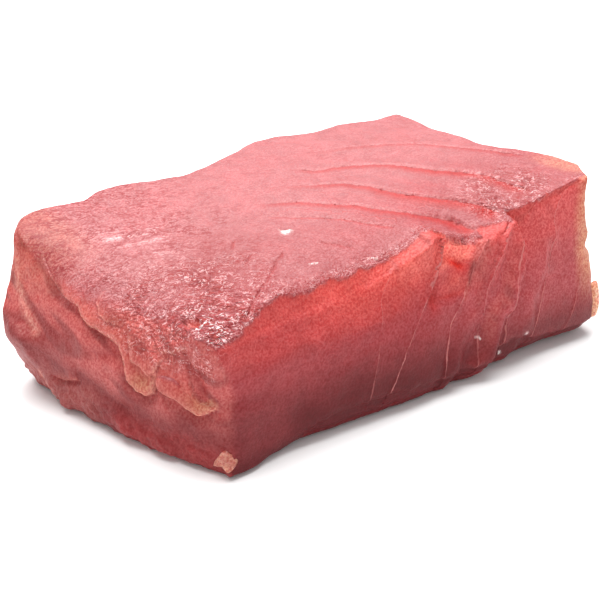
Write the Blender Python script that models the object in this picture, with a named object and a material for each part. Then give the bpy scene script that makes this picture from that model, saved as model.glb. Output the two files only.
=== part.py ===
"""A raw tuna steak: one slab of cut muscle, lying on its flat underside.

Lengths are millimetres here and metres in the finished mesh. X runs along the steak, Y across
it and Z up. The front is the long side at -Y. The end at -X is flaked: its upper layers of
muscle hang over the lower ones. A block of rows and columns is rounded, placed on the eight
corners of the steak, and then shaped face by face.
"""

import bmesh
import bpy
import numpy as np
from mathutils import Vector, noise

NAME = "tuna_steak"
MM = 0.001
THICKNESS = 32.0

# The steak's eight corners: the side along X, Y and Z, then x, y, z and the rounding there.
CORNERS = {
    (-1, -1, -1): (-47.6, -25.6, 0.0, 3.0),
    (1, -1, -1): (49.6, -43.4, 0.0, 5.0),
    (-1, 1, -1): (-54.2, 33.0, 0.0, 5.0),
    (1, 1, -1): (55.5, 27.0, 0.0, 4.0),
    (-1, -1, 1): (-47.0, -21.5, 27.0, 3.0),
    (1, -1, 1): (48.6, -32.4, 35.8, 1.0),
    (-1, 1, 1): (-53.0, 39.5, 32.8, 5.0),
    (1, 1, 1): (57.0, 30.5, 32.3, 2.5),
}
BLOCK = np.array((52.0, 32.0, THICKNESS / 2))  # half of the block that is mapped onto those corners

# Each side against the straight lines between its corners, as (place along the side, outwards).
FRONT_TOP_BOW = (
    (-46, 0), (-36, -1.0), (-25, -1.6), (-14, -0.6), (0, -1.6),
    (8, 0.2), (16, 1.6), (32, 0.8), (52, 0),
)
FRONT_FOOT_BOW = (
    (-46, 0), (-41, -0.6), (-36, -2.8), (-31, -3.5), (-22, -2.7), (-12, -1.6), (2, -1.6), (12, -2.2), (52, 0),
)
BACK_BOW = (
    (-53, 0), (-46, 4.2), (-39, 3.8), (-35, 3.0), (-30, 5.4), (-26, 5.7), (-22, 4.4), (-17, 1.9), (-9, -0.3),
    (-5, 0.4), (5, 3.4), (12, 6.2), (16.5, 7.2), (26, 5.0), (33, 3.0), (38, 3.2), (46, 0.3), (57, 0),
)
RIGHT_BOW = (
    (-34, -0.8), (-31, 1.6), (-27, 5.0), (-22, 5.4), (-18, 4.8), (-14, 3.1), (-10, 1.1),
    (-1, -1.4), (5, -1.1), (12, -0.4), (19, 0.4), (31, 0),
)

# The top's front edge against the plane of the top's corners, as (x, rise).
FRONT_EDGE_RISE = (
    (-46, 0), (-36, 0), (-24, -0.2), (-10, -1.0), (2, 0),
    (7, 1.2), (14, -1.6), (22, -2.4), (32, -0.6), (52, 0),
)
CROWN = 0.8  # rise of the middle of the top
GROOVE = 0.35  # depth of the top's dips over the seams
SWELL = 17.0  # wavelength of the flesh's soft unevenness
SWELL_SIZE = (0.9, 0.9, 0.7)

# Seams between the muscle layers, where they cross the front at half its height. They lean to
# +X going up. A layer swells out towards the seam on its right and steps back behind it.
SEAMS = (-9.6, -2.0, 9.0, 15.0, 22.6, 32.0)
SEAM_LEAN = 0.6
SEAM_RIM = 0.5  # half the width of a step
SEAM_STEPS = {3: 1.2, 4: 2.4, 5: 1.0}  # the step at a seam, by the seam's number
NOTCH_SEAMS = (1, 2)  # the torn notch lies between these two
NOTCH_DEPTH = 3.0
NOTCH_FLOOR = 17.0

# The flaps' lower rim on the flaked end, as (y, z), from the back to the front corner.
FLAP_RIM = (
    (36, 23), (24, 24.5), (16, 24.5), (9, 22.5), (2, 19.5), (-4, 16), (-8, 14.5),
    (-11.5, 17.5), (-15, 15.5), (-18.5, 13.5), (-22, 13.5), (-27, 16),
)
FLAP_OUT = 1.9  # how far the rim stands out
FLAP_UNDERCUT = 1.6  # how far the flesh below it is set back

# The block's rows, above its base. The close ones in the middle are bent onto the flaps' rim.
ROWS = (0.0, 0.9, 2.6, 5.2, 8.4, 11.6, 13.9, 15.0, 15.8, 17.6, 20.6, 24.0, 27.4, 30.0, 31.4, THICKNESS)
RIM_ROW = 15.0
COLUMN_WIDTHS = (2.75, 2.9)  # the widest column along X and along Y
EDGE_COLUMNS = (0.6, 1.5, 2.9)  # closer columns inside each edge


def smooth(t):
    """0 below 0, 1 above 1, and an eased step between them."""
    t = np.clip(t, 0.0, 1.0)
    return t * t * (3.0 - 2.0 * t)


def hump(t, middle, reach):
    """1 at the middle, falling to about a third at the reach."""
    return np.exp(-(((t - middle) / reach) ** 2))


def along(points, t):
    """An eased curve through points given as (place, value)."""
    places, values = np.array(sorted(points), float).T
    slopes = np.gradient(values, places)
    t = np.clip(t, places[0], places[-1])
    i = np.clip(np.searchsorted(places, t) - 1, 0, len(places) - 2)
    width = places[i + 1] - places[i]
    s = (t - places[i]) / width
    start = (1 + 2 * s) * (1 - s) ** 2 * values[i] + s * (1 - s) ** 2 * width * slopes[i]
    end = s * s * (3 - 2 * s) * values[i + 1] + s * s * (s - 1) * width * slopes[i + 1]
    return start + end


def of_corners(block, column):
    """One column of the corner table, mixed over the block, whose sides are at -1 and 1."""
    total = 0.0
    for side, values in CORNERS.items():
        share = np.prod((1.0 + np.array(side) * block) / 2.0, axis=1)
        total = total + share * values[column]
    return total


def filled(knots, widest):
    """The knots, with even places between those that are further apart than the widest column."""
    knots = sorted(knots)
    places = []
    for low, high in zip(knots, knots[1:]):
        parts = int(np.ceil((high - low) / widest))
        places.extend(np.linspace(low, high, parts, endpoint=False))
    return np.array([*places, knots[-1]])


def edge_knots(half):
    """The two sides of the block along one axis, with closer columns inside them."""
    ends = [half, *(half - inset for inset in EDGE_COLUMNS)]
    return ends + [-end for end in ends]


def columns_along_x():
    """Columns beside each seam too, so that the steps on the front are crisp."""
    left, right = (np.mean([CORNERS[x, -1, z][0] for z in (-1, 1)]) for x in (-1, 1))
    knots = edge_knots(BLOCK[0])
    for seam in SEAMS:
        middle = (2.0 * (seam - left) / (right - left) - 1.0) * BLOCK[0]
        knots += [middle - SEAM_RIM, middle + SEAM_RIM]
    return filled(knots, COLUMN_WIDTHS[0])


def block_mesh():
    """A cube cut into rows and columns, and the place in the block of each of its vertices."""
    mesh = bmesh.new()
    bmesh.ops.create_cube(mesh, size=2.0)
    columns_along_y = filled(edge_knots(BLOCK[1]), COLUMN_WIDTHS[1])
    lines = (columns_along_x(), columns_along_y, np.array(ROWS) - BLOCK[2])
    for axis, places in enumerate(lines):
        across = [edge for edge in mesh.edges if abs((edge.verts[0].co - edge.verts[1].co)[axis]) > 1.0]
        bmesh.ops.subdivide_edges(mesh, edges=across, cuts=len(places) - 2, use_grid_fill=True)
    found = np.array([vertex.co for vertex in mesh.verts])
    for axis, places in enumerate(lines):
        number = np.rint((found[:, axis] + 1.0) / 2.0 * (len(places) - 1)).astype(int)
        found[:, axis] = places[number]
    return mesh, found


def rounded(places):
    """The block with its edges rounded, by the radius mixed from its corners. Its sides are at -1 and 1."""
    radius = of_corners(places / BLOCK, 3)[:, None]
    inner = np.clip(places, radius - BLOCK, BLOCK - radius)
    out = places - inner
    length = np.linalg.norm(out, axis=1, keepdims=True)
    return (inner + out * radius / np.maximum(length, 1e-9)) / BLOCK


def bent_onto_rim(y, z, block):
    """On the flaked end the rows follow the flaps' rim. Returns z and the height above the rim."""
    top = of_corners(block * (1, 1, 0) + (0, 0, 1), 2)
    rim = along(FLAP_RIM, y)
    row = RIM_ROW / THICKNESS * top
    bent = np.where(z < row, z * rim / row, top - (top - z) * (top - rim) / (top - row))
    share = smooth((-0.8 - block[:, 0]) / 0.2) * (np.abs(block[:, 2]) < 1.0)
    return z + (bent - z) * share, bent - rim


def layer_number(x, y, z):
    """Which muscle layer a place is in. Whole numbers are seams.

    On the top, seam n is a circle round (6 n - 27.5, -24.5) with radius 30.5 + 6.6 n, so the
    seams are nested round the front left corner, and they lean with depth.
    """
    across = x - SEAM_LEAN * (z - THICKNESS) + 27.5
    deep = y + 24.5
    a = 6.6**2 - 6.0**2
    b = 2.0 * (30.5 * 6.6 + 6.0 * across)
    c = 30.5**2 - across**2 - deep**2
    return (np.sqrt(np.maximum(b * b - 4.0 * a * c, 0.0)) - b) / (2.0 * a)


def top_rise(x, y, z, block):
    """What the top rises over the plane of its corners, with shallow dips over the seams."""
    front = smooth((-0.45 - block[:, 1]) / 0.55) * along(FRONT_EDGE_RISE, x)
    crown = CROWN * (1.0 - block[:, 0] ** 2) * (1.0 - block[:, 1] ** 2)
    dip = (0.5 + 0.5 * np.cos(2.0 * np.pi * (layer_number(x, y, z) - 0.1))) ** 2
    dip = dip * smooth((block[:, 0] + 0.5) / 0.6) * smooth((1.0 - np.abs(block[:, 1])) / 0.2)
    return front + crown - GROOVE * dip


def seam_steps(across):
    """How far the front stands out as its layers swell towards their seams."""
    out = 0.0
    for number, size in SEAM_STEPS.items():
        left, right = SEAMS[number - 1], SEAMS[number]
        rise = smooth((across - left) / (right - left))
        fall = smooth((right + SEAM_RIM - across) / (2 * SEAM_RIM))
        out = out + size * rise * fall
    return out


def notch(across, z):
    """The depth of the torn notch in the upper front."""
    left, right = (SEAMS[number] - SEAM_RIM for number in NOTCH_SEAMS)
    width = smooth((across - left) / 2.5) * smooth((right + 2 * SEAM_RIM - across) / 2.0)
    return NOTCH_DEPTH * width * smooth((z - NOTCH_FLOOR) / 8.0)


def end_bulge(y, z):
    """How far the flaked end stands out without its flaps: a bowed foot, and a lobe near the back."""
    foot = 5.6 * np.clip(1.0 - ((y - 12.0) / 35.0) ** 2, 0.0, 1.0) * smooth((30.0 - z) / 24.0)
    lobe = 5.4 * hump(y, 28.0, 10.0) * hump(z, 17.5, 8.5)
    return foot + lobe


def flaps(over_rim, y):
    """The flaps stand out over the flesh below their rim, and merge into the end towards the back."""
    hanging = FLAP_OUT * smooth((14.0 - over_rim) / 14.0)
    below = -FLAP_UNDERCUT * smooth((9.0 + over_rim) / 9.0)
    return np.where(over_rim > -0.3, hanging, below) * smooth((23.0 - y) / 14.0)


def foot_lift(x, block):
    """How far the underside rises towards the front edge, most under the layers at the right."""
    edge = smooth((-0.62 - block[:, 1]) / 0.38)
    return 0.7 * edge * (smooth((x + 36.0) / 8.0) + hump(x, 34.0, 9.0))


def uneven(points):
    """The soft unevenness of cut flesh, along each axis."""
    shifts = [Vector((far, far, far)) for far in (0.0, 31.7, 67.3)]
    waves = [[noise.noise(Vector(point) / SWELL + shift) for shift in shifts] for point in points]
    return np.array(waves) * SWELL_SIZE


def shaped(places):
    """The block's places as places on the steak, in millimetres."""
    block = rounded(places)
    height = (block[:, 2] + 1.0) / 2.0
    x, y, z = (of_corners(block, column) for column in range(3))
    z, over_rim = bent_onto_rim(y, z, block)
    x = x + 0.9 * SEAM_LEAN * (z - THICKNESS / 2) * (1.0 - block[:, 0] ** 2)
    across = x - SEAM_LEAN * (z - THICKNESS / 2)
    z = z + height**2 * top_rise(x, y, z, block) + (1.0 - height) ** 3 * foot_lift(x, block)

    on_end = smooth((-0.93 - block[:, 0]) / 0.06)
    x = x - smooth((0.1 - block[:, 0]) / 1.1) * end_bulge(y, z) - on_end * flaps(over_rim, y)
    x = x + smooth(block[:, 0]) * along(RIGHT_BOW, y) * (0.5 + 0.5 * height)

    front = along(FRONT_TOP_BOW, x) * height**2 + along(FRONT_FOOT_BOW, x) * (1.0 - height) ** 2
    front = front + seam_steps(across) * smooth(1.4 - 0.7 * height) - notch(across, z)
    back = along(BACK_BOW, x) * (0.35 + 0.65 * height)
    y = y + smooth(block[:, 1]) * back - smooth(-block[:, 1]) * front

    points = np.stack([x, y, z], axis=1)
    points += uneven(points) * np.stack([np.ones_like(height), np.ones_like(height), height], axis=1)
    points[:, 2] = np.maximum(points[:, 2], 0.0)
    return points


def centred(points):
    """The points moved so that the steak stands on Z = 0, with the middle of its box over the origin."""
    low, high = points.min(axis=0), points.max(axis=0)
    return points - ((low[0] + high[0]) / 2, (low[1] + high[1]) / 2, low[2])


def flesh():
    """Moist raw tuna."""
    material = bpy.data.materials.new("flesh")
    material.use_nodes = True
    shader = material.node_tree.nodes["Principled BSDF"]
    shader.inputs["Base Color"].default_value = (0.72, 0.16, 0.15, 1.0)
    shader.inputs["Metallic"].default_value = 0.0
    shader.inputs["Roughness"].default_value = 0.38
    return material


def make_steak(collection):
    mesh, places = block_mesh()
    for vertex, point in zip(mesh.verts, centred(shaped(places)) * MM):
        vertex.co = point
    data = bpy.data.meshes.new(NAME)
    mesh.to_mesh(data)
    mesh.free()
    data.materials.append(flesh())
    data.shade_smooth()
    collection.objects.link(bpy.data.objects.new(NAME, data))


def main():
    for item in list(bpy.data.objects):
        bpy.data.objects.remove(item, do_unlink=True)
    collection = bpy.data.collections.new("raw_tuna_steak")
    bpy.context.scene.collection.children.link(collection)
    make_steak(collection)


main()
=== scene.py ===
"""The looks of a raw tuna steak: moist cut flesh in leaning layers, torn into flaps at one end.

X runs along the steak, Y across it and Z up, in millimetres until a mesh is made. The front is
the long side at -Y, the flaked end is at -X, and the steak lies on its underside. The flesh is a
copy of the solid's own surface, cut finer and given its relief, tints and wetness place by place.
"""

import math

import bpy
import numpy as np
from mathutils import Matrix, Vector, noise

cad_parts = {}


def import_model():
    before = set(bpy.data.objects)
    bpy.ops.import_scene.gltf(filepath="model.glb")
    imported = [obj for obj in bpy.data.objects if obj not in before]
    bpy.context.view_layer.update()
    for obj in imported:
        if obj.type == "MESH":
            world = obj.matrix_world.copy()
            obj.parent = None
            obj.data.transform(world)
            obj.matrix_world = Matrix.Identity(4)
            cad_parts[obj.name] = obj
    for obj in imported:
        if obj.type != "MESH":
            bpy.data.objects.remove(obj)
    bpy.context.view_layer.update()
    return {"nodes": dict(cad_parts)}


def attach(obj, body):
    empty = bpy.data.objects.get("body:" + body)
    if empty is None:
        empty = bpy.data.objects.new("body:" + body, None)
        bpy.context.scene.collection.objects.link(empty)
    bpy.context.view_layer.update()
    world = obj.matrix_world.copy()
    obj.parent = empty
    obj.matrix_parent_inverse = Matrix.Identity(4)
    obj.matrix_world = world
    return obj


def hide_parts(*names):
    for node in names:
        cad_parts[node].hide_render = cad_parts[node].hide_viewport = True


MM = 0.001

# How fine the surface is cut: the wanted length of an edge.
FINE = 0.38
FAIRLY_FINE = 1.35 * FINE
MEDIUM = 0.75
PLAIN = 1.1
COARSE = 2.6
SPLIT_OVER = 1.4  # an edge longer than this many times the wanted length is halved
SPLIT_ROUNDS = 6
SNAP = 0.19  # how far a point moves to lie exactly on a torn rim
SEAM_NEAR = 0.8  # within this of a seam on the front, or of a mark on the top, the surface is cut fine
MARK_NEAR = 0.9

# The camera: degrees round from -Y and up, its distance, and the place that it looks at.
CAMERA_AZIMUTH = -43.0
CAMERA_ELEVATION = 30.0
CAMERA_DISTANCE = 212.0
CAMERA_TARGET = (-8.0, -4.8, 15.5)
LENS = 60.0
SENSOR = 36.0

# The studio, in metres and watts.
FLOOR_SIZE = 4.0
FLOOR_WHITE = (0.93, 0.93, 0.93)
FLOOR_ROUGHNESS = 0.9
WORLD_STRENGTH = 0.62
SOFTBOX_PLACE = (0.14, 0.3, 0.82)
SOFTBOX_AIM = (0.0, 0.0, 0.02)
SOFTBOX_SIZE = 0.9
SOFTBOX_POWER = 17.0

# How far each kind of torn line strays from its smooth course.
FLAP_RAGGED = 0.3
SEAM_RAGGED = 0.35
MARK_RAGGED = 0.4
BAND_RAGGED = 0.45

# The coral bands between the muscle layers on the top: each one's upper edge as (x, y), then its width
# and its strength, both at its start and at its end.
BANDS = (
    (((17, 25), (30.5, 18.5), (37, 14.5), (42, 9.5), (45, 3.5), (48, -3), (54, -16.5)),
     (0.8, 1.0), (0.3, 0.5)),
    (((8, 19), (12.5, 17), (15.5, 14), (20.5, 12.5), (27.5, 6.5), (30, 2), (32.5, -4.5), (38.5, -14),
      (39, -19.5), (40, -27.5)), (0.7, 1.9), (0.4, 0.95)),
    (((-1.5, 16), (8, 8.5), (13.5, 5.5), (17, -0.5), (18, -5), (21, -11.5), (25, -17), (28.5, -22),
      (30, -28)), (0.8, 2.3), (0.5, 1.0)),
    (((-9.5, 12), (-4.5, 8.5), (0.5, 5.5), (5, 0), (9, -4.5), (11.5, -11), (15.5, -16.5), (19, -19.5),
      (20.5, -22), (22, -28)), (0.8, 1.8), (0.45, 0.9)),
    (((-10, 6), (-0.5, -3), (3, -7.5), (7, -17.5)), (0.3, 0.4), (0.5, 0.5)),
)
BAND_REACH = 6.0  # a band is gone this far from its upper edge
BAND_DEPTH = 0.5
RIDGE_HEIGHT = 0.12

# Small marks on the top as (x, y) lines, each with its half width: cracks, scraped streaks, white flecks.
CRACKS = (
    (((-15.5, -8), (-18.5, -9.5), (-22.5, -12), (-27, -14.5), (-30, -16), (-33, -18), (-34, -18.5)), 0.2),
    (((-20.5, -4), (-23.5, -6)), 0.18),
    (((-7.5, -10.5), (-4, -15.5)), 0.2),
    (((-19.5, 2.5), (-21.5, 0.5)), 0.18),
)
STREAKS = (
    (((-36.5, 16), (-30, 12.5)), 1.5),
    (((-41, 24.5), (-35, 20)), 1.1),
    (((-34, 8.5), (-27.5, 6)), 1.1),
    (((-38, 19.5), (-30, 16)), 1.4),
)
FLECKS = (
    (((-10.5, -2), (-9, -3)), 0.5),
    (((-14.5, -14.5), (-13, -15)), 0.2),
    (((-3.5, -20), (-2, -21)), 0.16),
)
# Besides their depth, the cracks are darkened with painted shade.
CRACK_DEPTH = 0.35
FLECK_HEIGHT = 0.25

# The short gash in the top above the flaps: its middle, the direction it runs in, and its half size.
SLIT_MIDDLE = (-42.0, -12.6)
SLIT_RUN = (0.36, -0.93)
SLIT_HALF_LENGTH = 2.6
SLIT_HALF_WIDTH = 0.75
SLIT_DEPTH = 1.5

# Where the top is wettest, as (x, y): its gloss and its painted glints are strongest there.
WET_CORNER = (-41.0, -13.0)
WET_TIP = (-41.0, -16.5)
WET_RIGHT = (37.0, -22.0)

# How the muscle layers lie inside the sides that are not seen: each is this thick, leaning and bowed.
LAYER = 9.0
LAYER_LEAN = 0.5
LAYER_BOW = 0.012

# Each seam down the front, as (height, x), with how far its layer stands over the next at the top
# and at the foot, and how clear its pale sinew is.
FRONT_SEAMS = (
    (-1, ((31, 4), (27.5, -1.5), (23.5, -5.5), (16, -9), (0, -15)), 0.05, 0.0, 0.4),
    (0, ((33, 12.5), (31, 11), (27.5, 9.5), (24.5, 7.5), (19, 2.5), (13, -3), (0, -12)), 0.5, 0.0, 1.0),
    (1, ((31, 23), (27.5, 19.5), (25.5, 17.5), (20, 13.5), (14.5, 9), (12, 8), (0, 3.5)), 0.2, 0.08, 1.0),
    (2, ((33, 33), (30.5, 29), (29, 25.5), (26, 23), (20, 18.5), (16.5, 17), (12, 16), (0, 12)),
     0.4, 0.08, 1.0),
    (3, ((35, 36), (30, 31.5), (25.5, 29), (19.5, 25.5), (16.5, 24.5), (12, 23.5), (8, 22.5), (0, 18)),
     0.0, 0.15, 1.0),
    (4, ((36, 50), (31.5, 43), (28.5, 40.5), (25, 39.5), (21, 38), (12.5, 34), (0, 27)), 0.04, 0.05, 0.9),
    (5, ((36, 56), (20, 48), (10, 43.5), (5, 40), (0, 37)), 0.0, 0.06, 0.6),
)

# Where the pink top ends towards the front, as (x, y): the flesh slopes down and is coral from there on.
TOP_EDGE = (
    (-46, -17.5), (-43.5, -20.5), (-41, -20), (-36, -20), (-31, -18.5), (-25.5, -17.5), (-21.5, -19),
    (-14, -19.5), (-10, -21), (-6, -20.5), (-2, -22), (3.5, -23), (12.5, -22.5), (13.5, -24.5), (15.5, -26),
    (19, -27.5), (21, -29), (22, -26), (27.5, -28.5), (29.5, -30.5), (31, -26.5), (33, -28.5), (36.5, -30),
    (47, -31.5), (55, -33),
)
NOTCH_SEAMS = (0, 1)  # the numbers of the seams on each side of the notch
DENT_SIDES = (-1.2, 12.4)  # the solid's own dent, from its left to its right side at this height
DENT_HEIGHT = 14.25
DENT_LEAN = 0.6
NOTCH_DEPTH = 0.6  # how far its bed is set back, then its wall, its crease and its hollow
WALL_DEPTH = 0.5
NOTCH_CREASE = 0.6
HOLLOW_DEPTH = 0.5
KNOB_HEIGHT = 0.6
SLOPE_DROP = 8.0  # how far below the top's edge its slope meets the front
SPOTS = range(-48, 56)  # places along X at which the front is measured

# The front's other lines: the lit flesh's lower edge as (x, height), and the right edge as (height, x).
FOOT_EDGE = ((-32, 2.5), (-21, 5.5), (-12, 5.5), (1, 5), (13, 4.5), (20, 5.5), (23.5, 7.5), (31, 5.5),
             (37, 4.5), (54, 4))
FOOT_DEPTH = 0.8
SINEW_HEIGHT = 0.06
RIGHT_EDGE = ((0, 45.5), (7, 46.5), (27, 48.5), (31, 50.5), (36, 52.5))
FRONT_FLECKS = (
    (((15, 10), (15.5, 9.5)), 0.14),
    (((21, 4.5), (21, 4)), 0.2),
    (((28, 7), (28.5, 6.5)), 0.2),
)  # little white flecks on the front's seams, as (x, height)

# Torn rims on the flaked end, as (y, z) with the flap above, how far it stands out and over how
# much it sinks back, then how far the flesh beyond the rim is set back and over how much.
FLAPS = (
    (((26, 28.5), (17.5, 24.5), (13, 23.5), (9.5, 21.5), (1.5, 20), (-1.5, 17), (-3, 14), (-6, 12.5),
      (-8, 13), (-8.5, 17), (-9.5, 15.5), (-11, 14.5), (-14, 14), (-16.5, 12.5), (-18.5, 12), (-21, 14),
      (-19.5, 16)),
     1.3, 9.0, 0.9, 3.0),
    (((-0.5, 23.5), (-2.5, 20.5), (-3.5, 18.5), (-6, 17.5), (-8, 17), (-9, 18), (-10, 21.5)),
     0.8, 4.0, 0.2, 1.0),
    (((9, 27), (8, 25.5), (6, 24), (4, 23.5), (0.5, 23.5)), 0.5, 3.5, 0.15, 1.0),
    (((17, 7), (14.5, 7.5), (11.5, 8.5), (10, 9)), 0.35, 2.5, 0.4, 2.0),
)
RIM_WIDTH = 0.35
# CREASE_WIDTH is how far the painted shadow under a flap's rim reaches.
CREASE_WIDTH = 0.9

# Marks on the flaked end as (y, z) lines with their half width: pale lines, and dark patches and creases,
# their dark partly painted shade.
PALE_LINES = (
    (((33.5, 27.5), (31.5, 25.5), (30, 22.5), (27.5, 20.5), (25, 18.5), (21.5, 16)), 0.9),
    (((21, 7), (21, 6), (18.5, 4.5), (18, 1.5)), 0.5),
    (((-7, 21.5), (-9, 21.5), (-11, 22), (-12.5, 23), (-14, 24)), 0.25),
)
DARK_PATCHES = (
    (((7.5, 16), (4.5, 16.5), (1.5, 17.5)), 1.3),
    (((25.5, 16.5), (23, 16)), 1.1),
    (((-14, 22.5), (-15.5, 20), (-17.5, 18), (-18.5, 16)), 0.7),
    (((17, 7), (13, 7.5), (10, 8.5)), 0.5),
)

# Outlines of two small pieces of torn flesh: a tag on the front's left foot, a shred at its right edge.
CORNER_TAG = ((-46, -21.5, 2), (-45.5, -22.5, 4), (-44.5, -23.5, 6), (-43.5, -24.5, 5), (-43, -25.5, 3.5),
              (-44.5, -25, 2), (-45, -23, 2), (-45.5, -22, 1.5))
EDGE_SHRED = ((50.5, -38.5, 11), (52, -39.5, 11.5), (51.5, -41, 8), (50, -42, 6), (49, -42, 4.5),
              (47.5, -40.5, 4.5), (48, -40, 6.5), (49, -39.5, 9))
TAG_THICK = 0.5
SHRED_THICK = 0.8
SHRED_RINGS = (0.3, 0.6, 0.85, 1.0)  # how far out each ring of a shred's points is, as a share of its outline
TAG_NEAR = 7.0  # the flesh within this of the tag's middle is what it is bent onto

# The flesh's colours, in linear light, from the top round the sides to the small torn pieces: its own tones,
# with painted light and shade in several of them.
# The top's pale pink is partly painted sheen.
TOP_BACK = (0.43, 0.13, 0.136)
TOP_FRONT = (0.375, 0.082, 0.088)
# The coral high on the front is partly painted glow of light through the thin edge; the dark low down partly
# painted shade.
CORAL = (0.74, 0.088, 0.072)
PALE_CORAL = (0.78, 0.14, 0.115)
MIDDLE = (0.365, 0.042, 0.048)
LOW = (0.12, 0.0045, 0.0065)
# The end's paler upper part and darker lower part are partly painted light and shade.
END = (0.51, 0.10, 0.092)
END_DARK = (0.22, 0.028, 0.029)
GREYED = (0.36, 0.075, 0.068)
# Painted shade for the slope under the top's edge, where it faces up.
SLOPE_SHADE = (0.54, 0.062, 0.054)
ROSE = (0.50, 0.09, 0.098)
FLAP = (0.55, 0.109, 0.085)
TAN = (0.43, 0.115, 0.07)
TONGUE = (0.50, 0.17, 0.10)
# Painted glow of light through the thin right edge.
RIM_GLOW_GOLD = (0.62, 0.24, 0.145)
PALE_RIM = (0.75, 0.30, 0.24)
DEEP_RED = (0.34, 0.03, 0.03)
# Painted shade at the slit's edge.
SLIT_EDGE_SHADE = (0.22, 0.02, 0.02)
SALMON = (0.76, 0.14, 0.105)
# The notch's paler upper slope is partly painted light.
NOTCH_LIT_SLOPE = (0.78, 0.155, 0.125)
TAG_TAN = (0.52, 0.15, 0.11)
TAG_PALE = (0.66, 0.27, 0.19)
# The shred at the right edge: its tan partly painted glow of light through it.
SHRED_GLOW_TAN = (0.80, 0.33, 0.19)
SHRED_GLOW_PALE = (0.84, 0.47, 0.33)
BRIGHT_RED = (0.62, 0.022, 0.014)
# Painted shade in the notch's hollow.
HOLLOW_SHADE_RED = (0.46, 0.028, 0.026)
# Painted shade: the dark red of the set-back foot and of the flesh just above the floor.
FOOT_SHADE_RED = (0.125, 0.0045, 0.007)
WHITE = (0.86, 0.70, 0.68)

# The colours of the material's fine marks, among them painted glints and painted sheen.
STREAK_PINK = (0.88, 0.52, 0.52, 1.0)
# The bands' red is partly painted shade in their grooves; the ridges' pink is painted sheen.
BAND_RED = (0.42, 0.018, 0.015, 1.0)
RIDGE_SHEEN_PINK = (0.75, 0.27, 0.27, 1.0)
GRAIN_DARK = (0.84, 0.55, 0.57, 1.0)
GRAIN_LIGHT = (1.12, 1.44, 1.41, 1.0)
NO_CHANGE = (1.0, 1.0, 1.0, 1.0)
VEIN_RED = (0.27, 0.024, 0.028, 1.0)
PIT_RED = (0.33, 0.042, 0.038, 1.0)
# Painted highlights: the glints on wet flesh, soft pink and, where it is wettest, white.
GLINT_SOFT = (0.90, 0.52, 0.52, 1.0)
GLINT_WHITE = (0.94, 0.80, 0.80, 1.0)
SINEW_PINK = (0.60, 0.20, 0.19, 1.0)

# The sizes of the material's fine marks, in millimetres.
GRAIN_SIZE = 0.45
FIBRE_SIZE = 0.4
STREAK_SIZE = 0.9
VEIN_SIZE = 1.15
VEIN_PATCHES = 5.0
SPECK_SIZE = 0.95
GLINT_PATCHES = 1.6
SINEW_PATCHES = 4.0
WRINKLE_SIZE = 1.1
SINEW_WIDTH = 0.15
FIBRES_TURN = 0.5  # radians that the fine marks on the top are turned about Z

def smooth(t):
    """0 below 0, 1 above 1, and an eased step between them."""
    t = np.clip(t, 0.0, 1.0)
    return t * t * (3.0 - 2.0 * t)


def hump(t, middle, reach):
    """1 at the middle, falling to about a third at the reach."""
    return np.exp(-(((t - middle) / reach) ** 2))


def along(points, t):
    """The value at t on straight lines between points given as (place, value)."""
    places, values = np.array(sorted(points), float).T
    return np.interp(t, places, values)


def bumps(places, size, shift=0.0):
    """Soft unevenness from about -1 to 1, in waves of this size."""
    return 1.6 * np.array([noise.noise(Vector(place)) for place in places / size + shift])


def mixed(first, second, share):
    """From the first colour to the second, by each point's share."""
    return first + (np.asarray(second) - first) * np.clip(share, 0.0, 1.0)[:, None]


def eased(points, steps=8):
    """Places along a smooth curve through the points."""
    points = np.array(points, float)
    padded = np.vstack([2 * points[0] - points[1], points, 2 * points[-1] - points[-2]])
    t = np.linspace(0.0, 1.0, steps, endpoint=False)[:, None]
    places = []
    for a, b, c, d in zip(padded, padded[1:], padded[2:], padded[3:]):
        places.append(0.5 * (2 * b + (c - a) * t + (2 * a - 5 * b + 4 * c - d) * t**2
                             + (3 * b - a - 3 * c + d) * t**3))
    return np.vstack([*places, points[-1:]])


def torn(line, size, seed):
    """A line with the fine raggedness of torn flesh."""
    wobble = [[noise.noise(Vector((*place, depth))) for depth in (seed, seed + 9.0)] for place in line]
    return line + size * np.array(wobble)


def to_line(flat, line):
    """Each place's nearest point on a line, its distance from it, and the share along it.

    The distance is over 0 on the right of the line's run, and under 0 on its left.
    """
    nearest = np.zeros_like(flat)
    distance = np.full(len(flat), np.inf)
    share = np.zeros(len(flat))
    for number, (start, end) in enumerate(zip(line, line[1:])):
        run = end - start
        part = np.clip((flat - start) @ run / (run @ run), 0.0, 1.0)
        point = start + part[:, None] * run
        off = flat - point
        far = np.linalg.norm(off, axis=1)
        side = np.where(run[0] * off[:, 1] - run[1] * off[:, 0] > 0, -1.0, 1.0)
        nearer = far < np.abs(distance)
        nearest[nearer] = point[nearer]
        distance[nearer] = (far * side)[nearer]
        share[nearer] = (number + part)[nearer] / (len(line) - 1)
    return nearest, distance, share


def marked(flat, marks):
    """How far each place is under one of these marks, from 0 to 1."""
    under = np.zeros(len(flat))
    for line, reach in marks:
        _, distance, _ = to_line(flat, torn(eased(line), MARK_RAGGED, 200.0 + len(line)))
        under = np.maximum(under, hump(distance, 0.0, reach))
    return under


def edges_of(triangles):
    """Every edge once, and which three of them each triangle has."""
    sides = np.concatenate([triangles[:, [0, 1]], triangles[:, [1, 2]], triangles[:, [2, 0]]])
    edges, which = np.unique(np.sort(sides, axis=1), axis=0, return_inverse=True)
    return edges, which.reshape(3, -1).T


def normals_of(points, triangles):
    """The direction out at each point."""
    a, b, c = points[triangles].transpose(1, 0, 2)
    across = np.cross(b - a, c - a)
    total = np.zeros_like(points)
    for corner in triangles.T:
        np.add.at(total, corner, across)
    return total / np.maximum(np.linalg.norm(total, axis=1, keepdims=True), 1e-12)


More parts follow.
